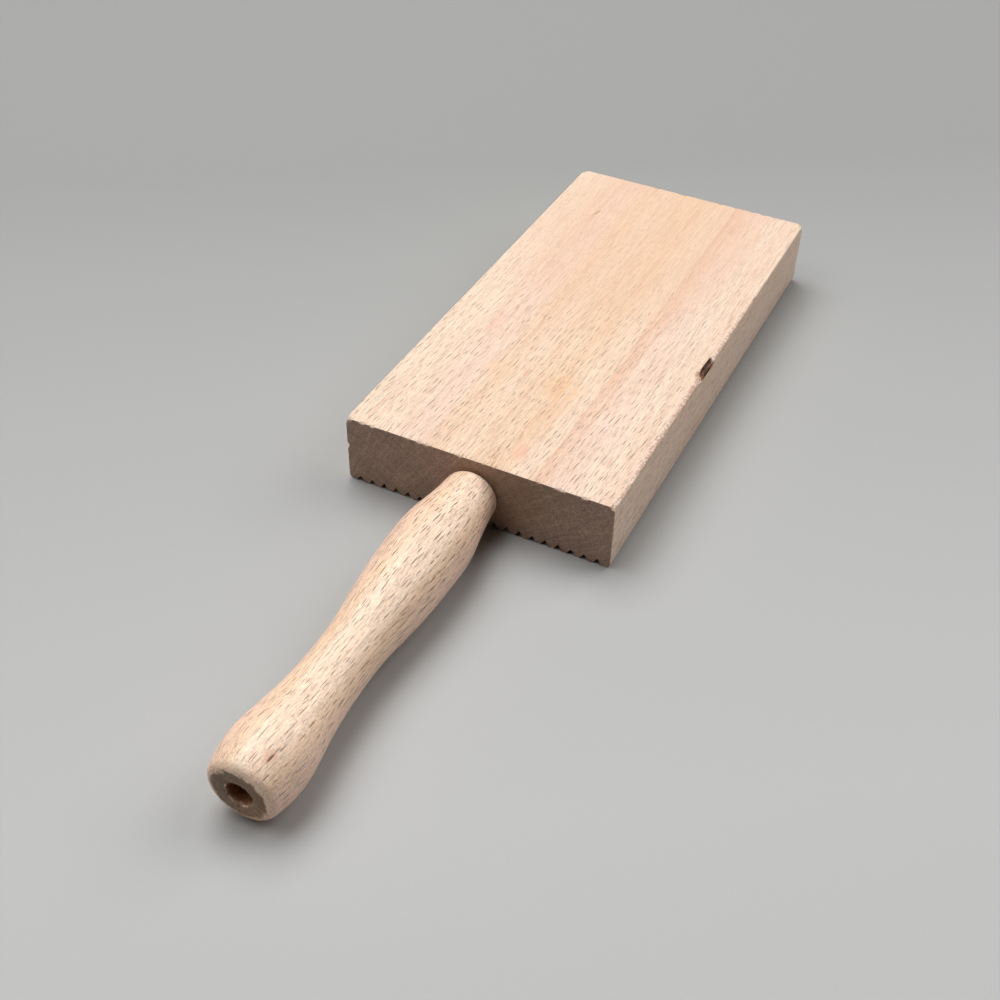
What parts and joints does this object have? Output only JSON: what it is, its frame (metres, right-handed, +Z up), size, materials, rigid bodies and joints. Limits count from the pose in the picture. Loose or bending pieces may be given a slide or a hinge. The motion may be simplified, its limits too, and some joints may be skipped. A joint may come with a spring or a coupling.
{
  "type": "gnocchi board",
  "caption": "Flat beech paddle with V grooves along one face and a turned, waisted handle glued into its end.",
  "frame": {"origin": "on the supporting surface, under the middle of the whole length and width", "axes": "+Z up through the smooth face, +Y from the handle's butt towards the board's far end, +X to the right across the grooves"},
  "size_m": [0.075, 0.2536, 0.02],
  "materials": {
    "board_beech": "planed bare beech",
    "handle_beech": "turned and sanded bare beech",
    "wood_glue": "cured wood glue"
  },
  "bodies": {
    "root": {"board": "board_beech", "handle": "handle_beech", "glue_line": "wood_glue"}
  },
  "joints": []
}
